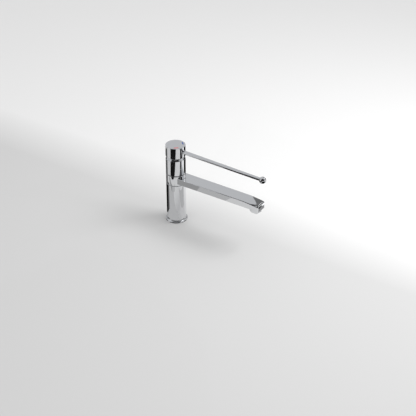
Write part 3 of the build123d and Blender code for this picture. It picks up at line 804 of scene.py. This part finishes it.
def add_ball():
    """Polished ball with a seat for the rod."""
    seat_radius = ROD_TIP_RADIUS + SLIP
    start = math.degrees(math.asin(seat_radius / BALL_RADIUS)) - 90
    # The arc stops just short of the pole, which the lathe's flat cap closes
    shell = arc_points((0, BALL_REACH), BALL_RADIUS, start, 88, steps=40)
    piece = round_rod("lever_ball", [
        (BALL_BORE, BALL_FACE + TIP_SPIGOT_LENGTH),
        (BALL_BORE, BALL_FACE),
        (seat_radius, BALL_FACE),
        *shell,
    ], ROD_ORIGIN, ROD_AXIS)
    smooth(piece)
    seat(piece, "lever", "ball_knob")


# The plated pieces, from the foot up
add_pillar()
add_base_ring()
add_spout()
add_aerator_collar()
add_sleeve()
add_dome()
add_head()
add_lever_rod()
add_ball()


# Floor, glowing cards of painted reflections, world and lamp
FLOOR_SIZE = 12
FLOOR_NEAR_SHADE = "CBCBCB"
FLOOR_FAR_SHADE = "E6E6E6"
FADE_START = 0.03
FADE_END = 0.2
RIM_CARD_LEVEL = 0.5
RIM_CARD_REACH = (26.4, 32)
RIM_CARD_SHADE = "101010"
SKY_DISTANCE = 20000
METAL_SURROUND = "C8C9CB"
PLAIN_SURROUND = "FFFFFF"
PLAIN_STRENGTH = 0.88
LAMP_AIM = Vector((0.05, 0, 0.08))


def add_floor():
    """Pale floor, a little darker on the near side of the tap."""
    deselect()
    bpy.ops.mesh.primitive_plane_add(size=FLOOR_SIZE, location=(0, 0, 0))
    floor = active("floor")
    material, tree, shader, place = new_material("pale_floor", FLOOR_FAR_SHADE, 0.0, 0.9)
    split = add_node(tree, "ShaderNodeSeparateXYZ", links={"Vector": place})
    fade = add_node(
        tree,
        "ShaderNodeMapRange",
        inputs={"From Min": FADE_START, "From Max": FADE_END},
        links={"Value": split.outputs["Y"]},
    )
    blend = add_node(
        tree,
        "ShaderNodeMixRGB",
        inputs={"Color1": colour(FLOOR_NEAR_SHADE), "Color2": colour(FLOOR_FAR_SHADE)},
        links={"Fac": fade.outputs["Result"]},
    )
    tree.links.new(blend.outputs["Color"], shader.inputs["Base Color"])
    floor.data.materials.append(material)


def add_painted_reflection(name, corners, shade, glow=1.0):
    """Glowing card that only reflections see, evenly at one shade: a painted reflection."""
    deselect()
    bpy.ops.mesh.primitive_plane_add(size=1)
    card = active(name)
    for vertex, corner in zip(card.data.vertices, corners):
        vertex.co = Vector(corner) * MM
    material = bpy.data.materials.new(name)
    material.use_nodes = True
    tree = material.node_tree
    tree.nodes.clear()
    # The card glows at its own shade, though it is no lamp: painted light that only reflections see
    emitter = add_node(
        tree, "ShaderNodeEmission", inputs={"Color": colour(shade), "Strength": glow}
    )
    add_node(tree, "ShaderNodeOutputMaterial", links={"Surface": emitter.outputs["Emission"]})
    card.data.materials.append(material)
    card.visible_camera = False
    card.visible_diffuse = False
    card.visible_shadow = False


def floor_card(name, level, corners, shade, glow=1.0):
    """Level card: its height, then its corners, near left, near right, far left, far right."""
    add_painted_reflection(name, [(x, y, level) for x, y in corners], shade, glow)


def rim_cards(name, turns, count):
    """Row of small dark glowing cards round the foot: painted dark reflections on the upright rim of the base
    ring.
    """
    first, last = turns
    for step in range(count):
        corners = []
        for reach in RIM_CARD_REACH:
            for side in (0, 1):
                end = math.radians(first + (last - first) * (step + side) / count)
                corners.append((reach * math.cos(end), reach * math.sin(end)))
        floor_card(f"{name}_{step}", RIM_CARD_LEVEL, corners, RIM_CARD_SHADE)


def sky_card(name, turns, heights, shade, glow=1.0):
    """Card far off, between two angles round the tap and two above the horizon."""
    corners = []
    for height in heights:
        for turn in turns:
            out = math.cos(math.radians(height))
            corners.append((
                SKY_DISTANCE * out * math.cos(math.radians(turn)),
                SKY_DISTANCE * out * math.sin(math.radians(turn)),
                SKY_DISTANCE * math.sin(math.radians(height)),
            ))
    add_painted_reflection(name, corners, shade, glow)


def add_world():
    """Even studio light, pale to the camera and a little greyer in the reflections."""
    world = bpy.data.worlds.new("studio")
    scene.world = world
    world.use_nodes = True
    tree = world.node_tree
    path = add_node(tree, "ShaderNodeLightPath")
    shine = add_node(
        tree,
        "ShaderNodeBackground",
        inputs={"Color": colour(METAL_SURROUND), "Strength": 1.0},
    )
    plain = add_node(
        tree,
        "ShaderNodeBackground",
        inputs={"Color": colour(PLAIN_SURROUND), "Strength": PLAIN_STRENGTH},
    )
    mix = add_node(
        tree,
        "ShaderNodeMixShader",
        links={
            0: path.outputs["Is Glossy Ray"],
            1: plain.outputs["Background"],
            2: shine.outputs["Background"],
        },
    )
    tree.links.new(mix.outputs["Shader"], tree.nodes["World Output"].inputs["Surface"])


def add_lamp(name, place, size, power):
    """Soft square lamp that looks at the tap, and that the metal doesn't reflect."""
    lamp = bpy.data.lights.new(name, "AREA")
    lamp.shape = "SQUARE"
    lamp.size = size
    lamp.energy = power
    holder = bpy.data.objects.new(name, lamp)
    holder.visible_glossy = False
    scene.collection.objects.link(holder)
    aim = LAMP_AIM - Vector(place)
    turn = aim.to_track_quat("-Z", "Y").to_matrix().to_4x4()
    holder.matrix_world = Matrix.Translation(place) @ turn


add_floor()

# Glowing cards just above the floor, which only reflections see: painted dark and grey reflections in the metal,
# dark rim cards round the foot, and a painted bright spot
floor_card("grey_foot_card", 0.3, [(-20, -18), (50, -30), (-118, -140), (20, -174)], "C0C0C0")
floor_card("pale_side_card", 0.3, [(26, -4), (86, -9), (20, 18), (70, 45)], "CFCFCF")
floor_card("grey_side_card", 0.3, [(86, -9), (162, -68), (70, 45), (175, 130)], "BCBCBC")
floor_card("dark_bar_card", 0.5, [(-150, -157), (-24, -157), (-160, -188), (-32, -188)], "9E9E9E")
floor_card("grey_bar_card", 0.5, [(-24, -157), (60, -157), (-32, -188), (64, -188)], "BEBEBE")
floor_card("dark_front_card", 0.6, [(-112, -212), (83, -226), (-160, -400), (300, -330)], "1A1A1A")
floor_card(
    "dark_far_card", 0.6, [(-160, -400), (300, -330), (-900, -1990), (1500, -1990)], "161616"
)
floor_card("grey_tip_card", 0.7, [(285, 95), (370, 85), (285, 215), (400, 205)], "9A9A9A")
floor_card("dark_right_card", 0.6, [(158, 165), (-54, 190), (350, 470), (-150, 520)], "161616")
floor_card("dark_left_card", 0.6, [(-38, 22), (-46, -26), (-156, 128), (-187, -60)], "101010")
floor_card("dim_left_card", 0.6, [(-49, -27), (-50, -44), (-187, -60), (-168, -98)], "484848")
floor_card("soft_left_card", 0.6, [(-52, -44), (-48, -56), (-168, -98), (-145, -132)], "8A8A8A")
floor_card("far_left_card", 0.6, [(-156, 128), (-190, -66), (-300, 330), (-400, -140)], "5E5E5E")
rim_cards("dark_rim_left_card", (222, 250), 2)
rim_cards("dark_rim_front_card", (265, 324), 4)
rim_cards("dark_rim_right_card", (336, 370), 3)
# Painted highlight: a white card that glows a little brighter than white
floor_card(
    "painted_highlight_spot_card", 0.9, [(438, -519), (573, -441), (940, -1762), (1398, -1497)], "FFFFFF", 1.2
)

# Glowing dark cards between the spout and the lever: painted dark reflections under the lever, its root and the
# ball
floor_card("dark_root_card", 152, [(50, -10), (112, -14), (50, 10), (112, 12)], "181818")
floor_card("dark_lever_card", 150, [(112, -50), (210, -50), (112, 12), (210, 12)], "101010")
floor_card("dark_ball_card", 150, [(226, -95), (340, -95), (226, 12), (340, 12)], "101010")

# Glowing cards for the rounded tip of the spout: a painted dark reflection and a painted highlight
floor_card("dark_tip_card", 0.8, [(349, 177), (480, 120), (707, 536), (900, 400)], "101010")
floor_card("bright_tip_card", 0.8, [(349, 183), (707, 542), (300, 250), (600, 640)], "FFFFFF", 1.3)

# Glowing cards above the horizon: painted reflections in the metal. The last one, small and bright, is a painted
# highlight that stands in for the lamp in the metal
sky_card("bright_right_card", (52, 86), (24, 50), "F4F4F4")
sky_card("dark_camera_card", (-114, -8), (0, 65), "1C1C1C")
sky_card("dark_right_wall_card", (30, 82), (0, 21), "141414")
sky_card("dark_left_wall_card", (150, 205), (0, 12), "202020")
sky_card("dark_nose_card", (91, 113), (14, 60), "757575")
sky_card("grey_lever_card", (-14, 8), (18, 45), "969696")
sky_card("painted_key_glint_card", (23, 35), (45, 58), "FFFFFF", 5)

add_world()
add_lamp("soft_key", place=(0.9, 0.5, 1.3), size=0.8, power=13)
